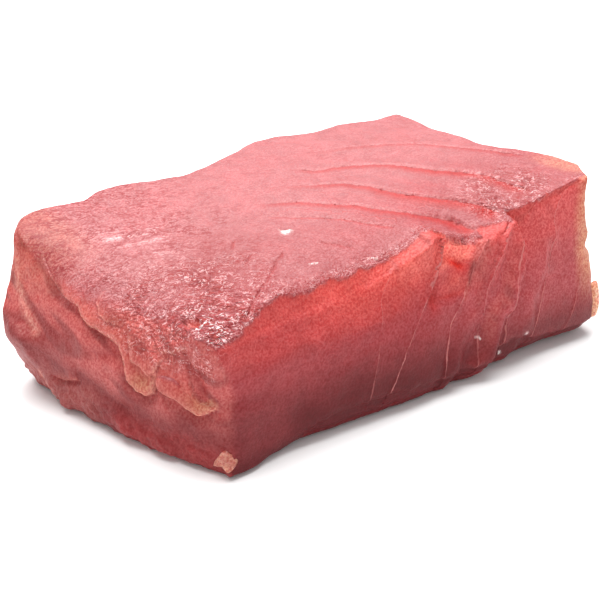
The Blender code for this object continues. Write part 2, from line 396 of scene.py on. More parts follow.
def averaged(values, triangles, rounds, share):
    """Values eased towards those around them, as far as each point's share."""
    edges, _ = edges_of(triangles)
    both = np.concatenate([edges, edges[:, ::-1]])
    count = np.bincount(both[:, 0], minlength=len(values))
    for _ in range(rounds):
        total = np.bincount(both[:, 0], weights=values[both[:, 1]], minlength=len(values))
        values = values + share * (total / count - values)
    return values


def cad_surface(node):
    """The solid's points in millimetres and its triangles, with points at one place joined."""
    mesh = node.data
    mesh.calc_loop_triangles()
    points = np.empty(len(mesh.vertices) * 3, np.float32)
    mesh.vertices.foreach_get("co", points)
    triangles = np.empty(len(mesh.loop_triangles) * 3, np.int32)
    mesh.loop_triangles.foreach_get("vertices", triangles)
    points = points.reshape(-1, 3).astype(float) / MM
    _, first, number = np.unique(np.round(points, 3), axis=0, return_index=True, return_inverse=True)
    triangles = number.reshape(-1)[triangles.reshape(-1, 3)]
    whole = (triangles != np.roll(triangles, 1, axis=1)).all(axis=1)
    return points[first], triangles[whole]


def cut_up(triangles, middle):
    """The triangles cut at the middles of their sides, where a side has one (its number is 0 or more)."""
    count = (middle >= 0).sum(axis=1)
    pieces = [triangles[count == 0]]
    for turn in range(3):
        a, b, c = np.roll(triangles, -turn, axis=1).T
        ab, bc, ca = np.roll(middle, -turn, axis=1).T
        one = (count == 1) & (ab >= 0)
        two = (count == 2) & (ca < 0)
        all_three = count == 3
        pieces += [np.stack(piece, axis=1)[one] for piece in ((a, ab, c), (ab, b, c))]
        pieces += [np.stack(piece, axis=1)[two] for piece in ((ab, b, bc), (a, ab, bc), (a, bc, c))]
        pieces.append(np.stack((a, ab, ca), axis=1)[all_three])
    pieces.append(middle[count == 3])
    return np.concatenate(pieces)


def refined(points, triangles):
    """The surface with its long edges halved, each new point on the curve that the normals give."""
    for _ in range(SPLIT_ROUNDS):
        normals = normals_of(points, triangles)
        edges, which = edges_of(triangles)
        start, end = points[edges[:, 0]], points[edges[:, 1]]
        run = end - start
        split = np.linalg.norm(run, axis=1) > SPLIT_OVER * wanted_edge((start + end) / 2.0)
        if not split.any():
            break
        at_start, at_end = normals[edges[:, 0]], normals[edges[:, 1]]
        out_at_end = (run * at_end).sum(axis=1, keepdims=True) * at_end
        out_at_start = (run * at_start).sum(axis=1, keepdims=True) * at_start
        new = (start + end) / 2.0 + (out_at_end - out_at_start) / 8.0
        number = np.where(split, np.cumsum(split) - 1 + len(points), -1)
        triangles = cut_up(triangles, number[which])
        points = np.concatenate([points, new[split]])
    return points, triangles


def front_seam_distance(x, z):
    """How far a place on the front is from the nearest seam, along X."""
    return np.min([np.abs(x - along(line, z)) for _, line, *_ in FRONT_SEAMS], axis=0)


def top_mark_distance(flat):
    """How far a place on the top is from the nearest band's edge or small mark."""
    lines = [line for line, *_ in BANDS + CRACKS + STREAKS + FLECKS]
    return np.min([np.abs(to_line(flat, np.array(line, float))[1]) for line in lines], axis=0)


def wanted_edge(places):
    """How long the edges are at each place: short where the flesh is torn, long underneath."""
    x, y, z = places.T
    length = np.full(len(places), PLAIN)
    length[y < -15] = MEDIUM
    length[(z < 0.5) & (np.abs(y) < 30) & (np.abs(x) < 45)] = COARSE
    front = (y < -20) & (z > 1)
    length[front & (front_seam_distance(x, z) < SEAM_NEAR)] = FINE
    length[front & (x > 2) & (x < 24) & (z > 15)] = FINE
    length[(y < -17) & (y > -34) & (z > 25)] = FAIRLY_FINE
    length[(x < -44) & (z > 0.5)] = FINE
    top = np.flatnonzero((z > 26) & (y > -30))
    length[top[top_mark_distance(places[top, :2]) < MARK_NEAR]] = FINE
    return length


def inner_number(x, y, z):
    """Which muscle layer a place on the hidden sides is in. Whole numbers are seams."""
    return (x + LAYER_LEAN * z + LAYER_BOW * y**2) / LAYER


def front_number(x, z):
    """Which layer a place on the front is in, and how many millimetres wide that layer is there."""
    lines = np.array([along(line, z) for _, line, *_ in FRONT_SEAMS])
    numbers = [number for number, *_ in FRONT_SEAMS]
    lines = np.vstack([lines[0] - 24.0, lines, lines[-1] + 24.0])
    value = np.full(len(x), numbers[0] - 0.5)
    wide = np.full(len(x), 12.0)
    for left, right, number in zip(lines, lines[1:], range(numbers[0] - 1, numbers[-1] + 1)):
        inside = x >= left
        value = np.where(inside, number + np.minimum((x - left) / (right - left), 1.0), value)
        wide = np.where(inside, right - left, wide)
    return value, wide


class Flesh:
    """The steak's surface while it is shaped: its points, where they started, and its fields."""

    def __init__(self, points, triangles):
        self.points = points
        self.triangles = triangles
        self.start = points.copy()
        self.normal = normals_of(points, triangles)
        self.normal = np.stack([averaged(side, triangles, 4, 0.5) for side in self.normal.T], axis=1)
        self.normal /= np.linalg.norm(self.normal, axis=1, keepdims=True)
        nx, ny, nz = self.normal.T
        x, y, z = points.T
        past = along(TOP_EDGE, x) - y + 0.5 * bumps(points, 1.6, 66.0)
        self.slope = np.maximum(past, 0.0) * (z > 20.0)
        self.top = smooth((nz - 0.55) / 0.2) * smooth(1.0 - past / 0.5)
        self.under = smooth((-nz - 0.6) / 0.3)
        self.front = smooth((-ny - 0.35) / 0.35) * (1.0 - self.top)
        self.end = smooth((-nx - 0.3) / 0.35) * (1.0 - self.top)
        self.right = smooth((nx - 0.45) / 0.35) * (1.0 - self.top)
        self.back = smooth((ny - 0.45) / 0.35) * (1.0 - self.top)
        self.rim = np.zeros(len(points))
        self.crease = np.zeros(len(points))
        self.on_flap = np.zeros(len(points))

    def push(self, amount):
        """Moves the points out along the smooth shape's normals."""
        self.points += self.normal * amount[:, None]

    def snap(self, axes, line, where):
        """Moves points that are almost on a line onto it. Gives each its distance and share along it."""
        flat = self.points[:, axes]
        nearest, distance, share = to_line(flat, line)
        close = where & (np.abs(distance) < SNAP)
        self.points[np.ix_(close, axes)] = nearest[close]
        distance[close] = 0.0
        return distance, share


def add_flap(flesh, line, lift, reach, sink, beyond, seed):
    """One torn flap: its rim stands out, thin and ragged, over flesh that is set back under it, and marked
    for the painted shadow under the rim.
    """
    where = (flesh.end > 0.05) | ((flesh.start[:, 0] < -38) & (flesh.normal[:, 0] < -0.15))
    line = torn(eased(line), FLAP_RAGGED, seed)
    distance, share = flesh.snap([1, 2], line, where)
    fade = smooth(share / 0.22) * smooth((1.0 - share) / 0.12) * where
    inside = distance >= 0.0
    thin = 1.0 - 0.5 * np.exp(-np.maximum(distance, 0.0) / 0.5)
    raised = lift * thin * smooth(1.0 - distance / reach) * inside
    lowered = sink * smooth(1.0 + distance / beyond) * ~inside
    flesh.push((raised - lowered) * fade)
    clear = fade * min(lift, 1.0)
    rim = clear * inside * np.exp(-np.maximum(distance, 0.0) / RIM_WIDTH)
    # Where the painted shadow under the rim goes.
    crease = clear * ~inside * np.exp(-np.maximum(-distance, 0.0) / CREASE_WIDTH)
    flesh.rim = np.maximum(flesh.rim, rim)
    flesh.crease = np.maximum(flesh.crease, crease)
    flesh.on_flap = np.maximum(flesh.on_flap, clear * inside * smooth(1.0 - distance / (0.8 * reach)))


def make_end(flesh):
    """The flaked end: its flaps, its dark and pale marks, a fold, and the ragged lower lip."""
    for seed, flap in enumerate(FLAPS):
        add_flap(flesh, *flap, 3.0 + 7.0 * seed)
    _, y, z = flesh.start.T
    flesh.dark = flesh.end * marked(flesh.start[:, 1:], DARK_PATCHES)
    flesh.pale = flesh.end * marked(flesh.start[:, 1:], PALE_LINES)
    lip = 1.3 * hump(y, 14.0, 4.0) * hump(z, 2.6, 2.2) + 0.7 * hump(y, 19.0, 1.4) * hump(z, 5.0, 1.8)
    fold = -0.6 * hump(z - 0.25 * y, 8.0, 1.6) * smooth((16.0 - np.abs(y + 2.0)) / 10.0)
    ragged = 0.35 * bumps(flesh.start, 3.2, 90.0) + 0.25 * bumps(flesh.start, 1.2, 91.0)
    ragged = smooth((9.0 - z) / 4.0) * ragged
    flesh.push(flesh.end * (lip + fold + ragged - 0.45 * flesh.dark + 0.1 * flesh.pale))


def slit_depth(x, y):
    """The short gash in the top above the flaps."""
    x, y = x - SLIT_MIDDLE[0], y - SLIT_MIDDLE[1]
    lengthwise = (x * SLIT_RUN[0] + y * SLIT_RUN[1]) / SLIT_HALF_LENGTH
    across = (y * SLIT_RUN[0] - x * SLIT_RUN[1]) / SLIT_HALF_WIDTH
    return smooth(1.6 * (1.0 - lengthwise**2 - across**2))


def make_front(flesh):
    """The front: each layer stands a little over the next at its seam, along a raised line of sinew."""
    facing = flesh.front * smooth((flesh.points[:, 0] + 30.0) / 10.0)
    for seed, (_, line, high, low, _) in enumerate(FRONT_SEAMS):
        course = eased([(place, height) for height, place in line])
        rim = torn(course, SEAM_RAGGED, 50.0 + 5.0 * seed)
        distance, _ = flesh.snap([0, 2], rim, facing > 0.3)
        step = low + (high - low) * smooth((flesh.start[:, 2] - 16.0) / 12.0)
        left = smooth(1.0 + distance / 3.0) * (distance <= 0.0)
        right = smooth(1.0 - distance / 2.4) * (distance > 0.0)
        sinew = SINEW_HEIGHT * np.exp(-np.abs(distance) / 0.25)
        flesh.push(facing * (step * (left - right) + sinew))


def notch_width(x, z):
    """1 between the torn notch's two seams, eased at its sides, and how far right of the first."""
    left, right = (along(line, z) for number, line, *_ in FRONT_SEAMS if number in NOTCH_SEAMS)
    return smooth((x - left) / 0.9) * smooth((right - x) / 3.6), np.maximum(x - left, 0.0)


def notch_marks(x, z):
    """The crease under the notch's slope, the knob below that, and the hollow beside the knob."""
    crease = hump(z + 0.55 * x, 33.2, 1.3) * hump(x, 13.7, 3.0)
    knob = hump(x, 12.3, 1.7) * hump(z, 22.8, 1.4)
    hollow = hump(x - 0.35 * z, -1.2, 1.2) * hump(z, 20.6, 2.2)
    hollow = hollow + 0.7 * hump(x, 10.8, 2.6) * hump(z, 20.4, 0.9)
    return crease, knob, hollow


def mean_near(x, values, where):
    """The mean of some points' values within a millimetre along X of each place."""
    found = [(spot, values[where & (np.abs(x - spot) < 1.0)]) for spot in SPOTS]
    return along([(spot, some.mean()) for spot, some in found if len(some)], x)


def top_height(flesh):
    """The height of the top's front edge at each point's place along X."""
    x, y, z = flesh.points.T
    return mean_near(x, z, (np.abs(along(TOP_EDGE, x) - y) < 0.7) & (z > 24.0))


def planed(flesh, top_z, low_z, inset, share):
    """Cuts the flesh off above straight lines from the top's edge down to the front at a lower place."""
    x, y, z = flesh.points.T
    top_y = along(TOP_EDGE, x)
    low_y = mean_near(x, y, (np.abs(z - low_z) < 0.6) & (flesh.front > 0.5)) + inset
    run_y, run_z = low_y - top_y, low_z - top_z
    length = np.hypot(run_y, run_z)
    over = ((y - top_y) * run_z - (z - top_z) * run_y) / length
    cut = share * np.maximum(over, 0.0) / length
    flesh.points[:, 1] -= cut * run_z
    flesh.points[:, 2] += cut * run_y


def fill_dent(flesh):
    """The solid's own wide dent is filled to a straight line between its sides, before the notch is torn."""
    x, y, z = flesh.points.T
    sides = [side + DENT_LEAN * (z - DENT_HEIGHT) for side in DENT_SIDES]
    left, right = (mean_near(z, y, (np.abs(x - side) < 0.8) & (flesh.front > 0.5)) for side in sides)
    part = (x - sides[0]) / (sides[1] - sides[0])
    behind = np.maximum(y - left - (right - left) * part, 0.0) * (part > 0.0) * (part < 1.0)
    share = np.maximum(smooth(flesh.front / 0.2), smooth((27.5 - z) / 1.5))
    flesh.points[:, 1] -= behind * share * smooth((z - 16.0) / 3.0) * (y < -18.0)


def make_slope(flesh):
    """The front's upper part is one slope up to the top's edge, at its left and at its right."""
    x = flesh.points[:, 0]
    top_z = top_height(flesh)
    left = smooth((x + 44.0) / 10.0) * smooth((2.0 - x) / 14.0)
    right = smooth((x - 29.8) / 1.2) * smooth((51.5 - x) / 4.0)
    planed(flesh, top_z, top_z - SLOPE_DROP, 0.0, np.maximum(left, right))


def make_notch(flesh):
    """The torn notch in the front's upper edge: its slope, crease, knob and hollow."""
    x, _, z = flesh.points.T
    inside, past = notch_width(x, z)
    planed(flesh, top_height(flesh), np.clip(33.4 - 0.55 * x, 24.0, 28.5), 0.5, inside)
    x, _, z = flesh.points.T
    crease, knob, hollow = notch_marks(x, z)
    above_foot = smooth((z - 18.0) / 4.0)
    bed = NOTCH_DEPTH * above_foot * smooth((26.5 - z) / 2.0)
    wall = WALL_DEPTH * above_foot * np.exp(-past / 1.1)
    relief = KNOB_HEIGHT * knob - bed - wall - NOTCH_CREASE * crease - HOLLOW_DEPTH * hollow
    flesh.push(flesh.front * inside * relief)
    flesh.notch = np.maximum(flesh.front, smooth(flesh.slope / 0.4)) * inside


def make_foot(flesh):
    """Under the front's lit flesh its foot is set back, in shade, and marked for the painted shade that
    darkens it.
    """
    x, _, z = flesh.start.T
    edge = along(FOOT_EDGE, x) + 0.35 * bumps(flesh.start * (1.0, 1.0, 0.0), 2.2, 60.0)
    under = smooth((x + 31.0) / 5.0) * smooth((54.0 - x) / 3.0) * smooth((edge - z) / 0.7)
    depth = FOOT_DEPTH - 0.3 * smooth((x - 26.0) / 6.0)
    flesh.push(-depth * flesh.front * under)
    flesh.foot = flesh.front * under


def make_top(flesh):
    """The top: a groove under each coral band's crisp edge, cracks, the slit, and small scraped marks."""
    x, y, _ = flesh.start.T
    facing = flesh.top > 0.3
    flesh.band = np.zeros(len(x))
    flesh.band_off = np.full(len(x), -BAND_REACH)
    for seed, (line, widths, strengths) in enumerate(BANDS):
        distance, share = flesh.snap([0, 1], torn(eased(line), BAND_RAGGED, 100.0 + 5.0 * seed), facing)
        width = widths[0] + (widths[1] - widths[0]) * share
        strength = strengths[0] + (strengths[1] - strengths[0]) * share
        strength = strength * smooth(share / 0.2) * smooth((1.0 - share) / 0.05)
        strength = strength * smooth(2.0 * (1.0 - np.abs(distance) / BAND_REACH)) * flesh.top
        groove = smooth(distance / 0.8 + 1.0) * np.exp(-np.maximum(distance, 0.0) / width)
        flesh.push(-BAND_DEPTH * strength * groove)
        flesh.push(RIDGE_HEIGHT * strength * hump(distance, -1.2, 0.7))
        off = np.where(distance > 0.0, distance / width, distance / 0.35)
        stronger = strength > flesh.band
        flesh.band = np.where(stronger, strength, flesh.band)
        flesh.band_off = np.where(stronger, off, flesh.band_off)
    flesh.crack = flesh.top * marked(flesh.start[:, :2], CRACKS)
    flesh.streak = flesh.top * marked(flesh.start[:, :2], STREAKS)
    strayed = flesh.start[:, :2] + 0.3 * bumps(flesh.start, 1.2, 7.0)[:, None]
    flesh.fleck = flesh.top * marked(strayed, FLECKS)
    slit = flesh.top * slit_depth(x, y)
    flesh.push(-CRACK_DEPTH * flesh.crack - SLIT_DEPTH * slit + FLECK_HEIGHT * flesh.fleck)
    flesh.slit = slit
    flesh.wet = flesh.wet * (1.0 - slit) * (1.0 - 0.8 * flesh.crack)
    facing_up = smooth((flesh.normal[:, 2] - 0.4) / 0.4)
    flesh.push(-0.3 * facing_up * smooth(flesh.slope / 0.7))


def make_right_edge(flesh):
    """The ragged upright edge at the front's right: a nick with a spur over it."""
    x, y, z = flesh.start.T
    near = smooth((x - 44.0) / 5.0) * smooth((-30.0 - y) / 3.0)
    out = 0.5 * hump(z, 23.4, 0.9) - 1.1 * hump(z, 20.6, 1.2) + 0.3 * hump(z, 16.0, 2.5)
    flesh.points[:, 0] += near * out


def make_uneven(flesh):
    """The unevenness of moist cut flesh, rougher at the flaked end, wrinkled where it is wet."""
    rough = 0.09 + 0.10 * flesh.end + 0.05 * flesh.front
    flesh.push(rough * bumps(flesh.start, 3.4) + 0.05 * bumps(flesh.start, 1.3, 20.0))
    flesh.push(0.16 * flesh.wet * bumps(flesh.start * (1.0, 0.6, 1.0), 1.1, 40.0))


def wetness(flesh):
    """Where the flesh glistens: over the flaps, along the top's front edge and at the right end."""
    x, y, z = flesh.start.T
    patchy = 0.5 + 0.5 * bumps(flesh.start, 6.0, 80.0)
    corner = smooth(1.35 - np.hypot(x - WET_CORNER[0], y - WET_CORNER[1]) / 22.0) * smooth((z - 17.0) / 5.0)
    corner = corner * smooth(1.0 - flesh.slope / 0.6) * (1.0 - flesh.front)
    left = 0.3 * smooth((-36.0 - x) / 6.0) * smooth((z - 21.0) / 4.0) * smooth((22.0 - y) / 8.0)
    edge = flesh.top * smooth(1.3 - (y - along(TOP_EDGE, x)) / 2.8)
    right = flesh.top * smooth(1.4 - np.hypot(x - WET_RIGHT[0], 1.3 * (y - WET_RIGHT[1])) / 12.0)
    wet = np.maximum.reduce([corner, left, 0.5 * edge, right]) * (0.5 + 0.7 * patchy)
    tip = flesh.top * hump(np.hypot(x - WET_TIP[0], y - WET_TIP[1]), 0.0, 4.5)
    return np.clip(wet, 0.0, 1.0) + 0.7 * tip


def top_colour(flesh, patchy):
    """Pink, partly the flesh's own and partly painted sheen, greyer towards the front and in the middle of
    the left half.
    """
    x, y, _ = flesh.start.T
    colour = mixed(np.tile(TOP_BACK, (len(x), 1)), TOP_FRONT, smooth((6.0 - y) / 26.0) + 0.15 * patchy)
    return colour * (1.0 - np.outer(hump(x, -27.0, 12.0) * hump(y, 0.0, 10.0), (0.22, 0.42, 0.42)))


def side_colour(flesh, patchy):
    """Coral under the top's edge, duller below that, and wine red low down: partly the flesh's own tones,
    partly painted glow under the thin edge and painted shade low down.
    """
    x, _, z = flesh.start.T
    down = (34.0 - z + 1.6 * patchy) / 34.0
    colour = mixed(np.tile(CORAL, (len(x), 1)), MIDDLE, smooth((down - 0.08) / 0.42))
    colour = mixed(colour, LOW, smooth((down - 0.45) / 0.38))
    colour = mixed(colour, PALE_CORAL, 0.8 * hump(x, 4.0, 7.0) * smooth((z - 23.0) / 5.0))
    colour = mixed(colour, MIDDLE, 0.75 * smooth((-17.0 - x) / 8.0) * smooth((z - 20.0) / 6.0))
    colour = mixed(colour, ROSE, 0.6 * smooth((x + 2.0) / 26.0) * (0.35 + 0.65 * smooth((z - 6.0) / 8.0)))
    low_left = smooth((-27.0 - x) / 6.0) * smooth((16.0 - z) / 8.0) * smooth((z - 1.0) / 4.0)
    colour = mixed(colour, MIDDLE, 0.3 * low_left)
    # Painted shade: the slope under the top's edge is darker where it faces up.
    return mixed(colour, SLOPE_SHADE, 0.6 * smooth(flesh.slope / 0.7) * smooth((flesh.normal[:, 2] - 0.3) / 0.4))


def end_colour(flesh, patchy, mottled):
    """The flaked end: paler high up, with dark layers, and grey or deep red low down; the pale high up and
    the dark low down are partly painted light and shade.
    """
    x, y, z = flesh.start.T
    low = smooth((15.0 - z + 2.5 * patchy) / 9.0) * smooth((27.0 - y) / 12.0)
    colour = mixed(np.tile(END, (len(x), 1)), END_DARK, low)
    far = smooth((y - 12.0) / 9.0) * smooth((20.0 - z + 2.0 * mottled) / 5.0)
    colour = mixed(colour, END_DARK, 0.75 * far)
    layered = bumps(np.stack([x, 0.18 * y + 0.07 * z, 0.37 * y - 0.93 * z], axis=1), 2.4, 3.0)
    colour = mixed(colour, END_DARK, 0.7 * smooth(1.6 * layered))
    colour = mixed(colour, GREYED, 0.75 * smooth((y - 2.0) / 5.0) * smooth((11.0 - z) / 5.0))
    colour = mixed(colour, TAN, 0.3 * smooth((z - 19.0) / 7.0) * smooth((y - 14.0) / 12.0))
    return mixed(colour, DEEP_RED, 0.6 * smooth((9.0 - z) / 5.0) * smooth((4.0 - y) / 8.0))


def with_tan_and_edge_glow(flesh, colour):
    """The tan far left of the top, the gold edges at the right, a painted glow of light through the thin
    flesh, and the tan tips of two flaps.
    """
    x, y, z = flesh.start.T
    far_left = flesh.top * smooth((-38.0 - x) / 5.0) * smooth((y - 12.0) / 16.0)
    colour = mixed(colour, TAN, 0.45 * far_left)
    upright = smooth((x - along(RIGHT_EDGE, z) + 3.6) / 4.0) * smooth((-29.0 - y) / 3.0)
    upright = upright * smooth((z - 7.0) / 12.0) * (1.0 - flesh.top)
    level = flesh.top * smooth((x - 51.0) / 3.0) * smooth((-14.0 - y) / 10.0)
    # Painted light: the gold glow along the thin right edge and the top beside it.
    colour = mixed(colour, RIM_GLOW_GOLD, np.maximum(0.9 * upright, 0.5 * level))
    tongue = hump(y, -19.0, 3.0) * hump(z, 13.8, 2.2) + hump(y, -6.5, 3.0) * hump(z, 14.2, 1.8)
    return mixed(colour, TONGUE, 0.8 * flesh.end * tongue * (flesh.on_flap > 0.1))


def with_tears(flesh, colour):
    """The notch's pale slope (partly painted light), red crease and hollow (painted shade in the hollow), the
    slit (painted shade at its edge), the flaps' dark creases (painted shadow under the rims), dark patches
    and cracks (partly painted shade), and pale rims.
    """
    x, _, z = flesh.start.T
    crease, knob, hollow = notch_marks(x, z)
    slit = flesh.slit
    # Painted shade: under the flaps' rims, on the end's dark patches and in the cracks.
    dark = np.maximum(0.6 * np.maximum(flesh.crease, flesh.dark), 0.9 * flesh.crack)
    for tint, share in (
        # partly painted light on the notch's upper slope
        (NOTCH_LIT_SLOPE, flesh.notch * smooth((flesh.points[:, 2] - 25.0) / 1.5)),
        (BRIGHT_RED, 1.1 * flesh.notch * crease),
        # painted shade in the notch's hollow
        (HOLLOW_SHADE_RED, 0.9 * flesh.notch * hollow),
        # painted shade at the slit's edge
        (SLIT_EDGE_SHADE, 3.6 * slit * (1.0 - slit)),
        (SALMON, 0.9 * slit**3),
        (SALMON, 0.35 * flesh.notch * knob),
        (DEEP_RED, dark),
        (PALE_RIM, np.maximum(0.55 * flesh.rim, 0.5 * flesh.pale)),
    ):
        colour = mixed(colour, tint, share)
    return colour


def tints(flesh):
    """Each point's colour: its part's, with painted light and shade in some, then that of the edges, tears,
    foot and flecks on it; the foot's is painted shade.
    """
    x, y, z = flesh.start.T
    patchy = bumps(flesh.start, 9.0, 11.0)
    mottled = bumps(flesh.start, 2.6, 33.0)
    colour = mixed(side_colour(flesh, patchy), end_colour(flesh, patchy, mottled), flesh.end)
    colour = mixed(colour, FLAP, 0.7 * flesh.on_flap)
    colour = mixed(colour, top_colour(flesh, patchy), flesh.top)
    colour = mixed(colour, MIDDLE, flesh.under)
    colour = with_tan_and_edge_glow(flesh, colour)
    colour = with_tears(flesh, colour)
    # Painted shade: dark red on the set-back foot, and all round low down where the flesh meets the floor,
    # less at the flaked end.
    low = smooth((2.6 - z) / 1.8) * (1.0 - 0.8 * flesh.end)
    colour = mixed(colour, FOOT_SHADE_RED, 0.85 * np.maximum(flesh.foot, low))
    on_seams = flesh.front * marked(flesh.start[:, [0, 2]], FRONT_FLECKS)
    colour = mixed(colour, WHITE, 1.3 * np.maximum(flesh.fleck, on_seams))
    far = np.maximum(smooth((y - 12.0) / 12.0) * smooth((z - 26.0) / 3.0), smooth((y - 28.0) / 5.0))
    duller = smooth((-41.0 - x) / 8.0) * far
    colour = colour * (1.0 - np.outer(duller, (0.1, 0.24, 0.26)))
    return colour * (1.0 + 0.07 * mottled + 0.05 * patchy)[:, None]


def fields(flesh):
    """What the material reads at each point."""
    x, y, z = flesh.points.T
    number, wide = front_number(x, z)
    on_front = flesh.front > 0.4
    strength = np.interp(number, [seam[0] for seam in FRONT_SEAMS], [seam[4] for seam in FRONT_SEAMS])
    facing = flesh.front * strength * smooth((x + 34.0) / 12.0) * (1.0 - flesh.foot)
    others = 0.5 * np.maximum.reduce([flesh.right, flesh.back, flesh.under])
    return {
        "tint": tints(flesh),
        "seam": np.where(on_front, number, inner_number(x, y, z)),
        "seam_width": SINEW_WIDTH / np.where(on_front, wide, LAYER),
        "sinew": np.where(on_front, facing, others),
        "band_off": flesh.band_off,
        "band": flesh.band,
        "wet": flesh.wet,
        "veins": flesh.top * (0.35 + 0.65 * smooth((-4.0 - x) / 22.0)),
        "calm": 0.5 * flesh.top * smooth((x + 28.0) / 14.0) * smooth((y + 14.0) / 12.0),
        "streaks": flesh.streak,
    }


def new_piece(name, points, triangles, material, values):
    """A mesh object from millimetres, with a field for each of the values."""
    mesh = bpy.data.meshes.new(name)
    mesh.from_pydata(points * MM, [], triangles)
    for field, numbers in values.items():
        if numbers.ndim == 2:
            attribute = mesh.attributes.new(field, "FLOAT_COLOR", "POINT")
            numbers = np.column_stack([numbers, np.ones(len(numbers))])
            attribute.data.foreach_set("color", numbers.astype(np.float32).ravel())
        else:
            attribute = mesh.attributes.new(field, "FLOAT", "POINT")
            attribute.data.foreach_set("value", numbers.astype(np.float32))
    mesh.materials.append(material)
    mesh.shade_smooth()
    piece = bpy.data.objects.new(name, mesh)
    bpy.context.scene.collection.objects.link(piece)
    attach(piece, "root")
    return piece


class Nodes:
    """Short ways to add a material's nodes."""

    def __init__(self, name):
        self.material = bpy.data.materials.new(name)
        self.material.use_nodes = True
        self.tree = self.material.node_tree
        self.shader = self.tree.nodes["Principled BSDF"]

    def add(self, kind, links=(), **settings):
        node = self.tree.nodes.new(kind)
        for setting, value in settings.items():
            setattr(node, setting, value)
        for socket, value in dict(links).items():
            self.put(node.inputs[socket], value)
        return node

    def put(self, socket, value):
        if isinstance(value, bpy.types.NodeSocket):
            self.tree.links.new(value, socket)
        else:
            socket.default_value = value

    def maths(self, operation, first, second=0.0):
        return self.add("ShaderNodeMath", {0: first, 1: second}, operation=operation).outputs[0]

    def between(self, value, low, high, out_low=0.0, out_high=1.0):
        links = {"Value": value, "From Min": low, "From Max": high, "To Min": out_low, "To Max": out_high}
        return self.add("ShaderNodeMapRange", links, interpolation_type="SMOOTHSTEP").outputs[0]

    def mix(self, share, first, second, blend="MIX"):
        node = self.add("ShaderNodeMix", data_type="RGBA", blend_type=blend)
        for socket, value in ((0, share), (6, first), (7, second)):
            self.put(node.inputs[socket], value)
        return node.outputs[2]

    def field(self, name, output="Fac"):
        return self.add("ShaderNodeAttribute", attribute_name=name).outputs[output]

    def noise(self, size, detail=2.0, stretch=(1.0, 1.0, 1.0), turn=(0.0, 0.0, 0.0), distortion=0.0):
        """Noise in waves of this many millimetres, stretched along axes that are turned first."""
        place = self.add("ShaderNodeTexCoord").outputs["Object"]
        links = {"Vector": place, "Scale": stretch, "Rotation": turn}
        scaled = self.add("ShaderNodeMapping", links, vector_type="TEXTURE").outputs[0]
        links = {"Vector": scaled, "Scale": 1.0 / (size * MM), "Detail": detail, "Distortion": distortion}
        return self.add("ShaderNodeTexNoise", links).outputs["Fac"]


def with_bands(nodes, colour):
    """Coral bands between the muscle layers, partly their own tone and partly painted shade in the grooves,
    each with a paler ridge of painted sheen beside its edge.
    """
    off = nodes.field("band_off")
    band = nodes.maths("MULTIPLY", nodes.between(off, -0.9, 0.1), nodes.between(off, 0.2, 2.6, 1.0, 0.0))
    band = nodes.maths("MULTIPLY", band, nodes.field("band"))
    colour = nodes.mix(band, colour, BAND_RED)
    # Painted sheen on the ridge beside each band's edge.
    ridge = nodes.maths("MULTIPLY", nodes.between(off, -4.0, -1.0), nodes.between(off, -1.0, -0.3, 1.0, 0.0))
    ridge = nodes.maths("MULTIPLY", ridge, nodes.maths("MULTIPLY", nodes.field("band"), 0.35))
    return nodes.mix(ridge, colour, RIDGE_SHEEN_PINK)


def with_streaks(nodes, colour):
    """Long pale scrapes on the top."""
    streaks = nodes.noise(STREAK_SIZE, 2.0, (14.0, 1.0, 1.0), (0.0, 0.0, -FIBRES_TURN))
    streaks = nodes.maths("MULTIPLY", nodes.between(streaks, 0.38, 0.66, 0.0, 0.55), nodes.field("streaks"))
    return nodes.mix(streaks, colour, STREAK_PINK)


def with_grain(nodes, colour, grain):
    """Fine grain and leaning fibres, darker and lighter, less of both where the flesh is calm."""
    fibres = nodes.noise(FIBRE_SIZE, 2.0, (1.0, 1.0, 2.4), (0.0, 0.54, 0.0), 0.3)
    shade = nodes.maths("ADD", nodes.maths("MULTIPLY", grain, 0.6), nodes.maths("MULTIPLY", fibres, 0.4))
    shade = nodes.mix(nodes.between(shade, 0.36, 0.64), GRAIN_DARK, GRAIN_LIGHT)
    shade = nodes.mix(nodes.field("calm"), shade, NO_CHANGE)
    return nodes.mix(1.0, colour, shade, "MULTIPLY")


def with_veins(nodes, colour):
    """Thin dark lines that wander over the top, in patches."""
    wandering = nodes.noise(VEIN_SIZE, 3.0, (2.2, 1.0, 1.0), (0.0, 0.0, -FIBRES_TURN), 0.8)
    off_line = nodes.maths("ABSOLUTE", nodes.maths("SUBTRACT", wandering, 0.5))
    patches = nodes.between(nodes.noise(VEIN_PATCHES), 0.36, 0.54, 0.25, 1.0)
    vein = nodes.maths("MULTIPLY", nodes.between(off_line, 0.0, 0.075, 1.0, 0.0), patches)
    return nodes.mix(nodes.maths("MULTIPLY", vein, nodes.field("veins")), colour, VEIN_RED)


def with_painted_glints(nodes, colour, specks, wet):
    """Where the flesh is wet: dark pits, and painted glints between them, thin light lines in the colour,
    whitest where it is wettest.
    """
    off_line = nodes.maths("ABSOLUTE", nodes.maths("SUBTRACT", specks, 0.5))
    pits = nodes.maths("MULTIPLY", nodes.between(off_line, 0.06, 0.14, 0.0, 0.8), wet)
    colour = nodes.mix(pits, colour, PIT_RED)
    painted_glints = nodes.maths("MULTIPLY", nodes.between(off_line, 0.0, 0.045, 0.95, 0.0), wet)
    patches = nodes.between(nodes.noise(GLINT_PATCHES, 2.0), 0.42, 0.56)
    glint = nodes.mix(nodes.between(wet, 0.95, 1.5), GLINT_SOFT, GLINT_WHITE)
    return nodes.mix(nodes.maths("MULTIPLY", painted_glints, patches), colour, glint)


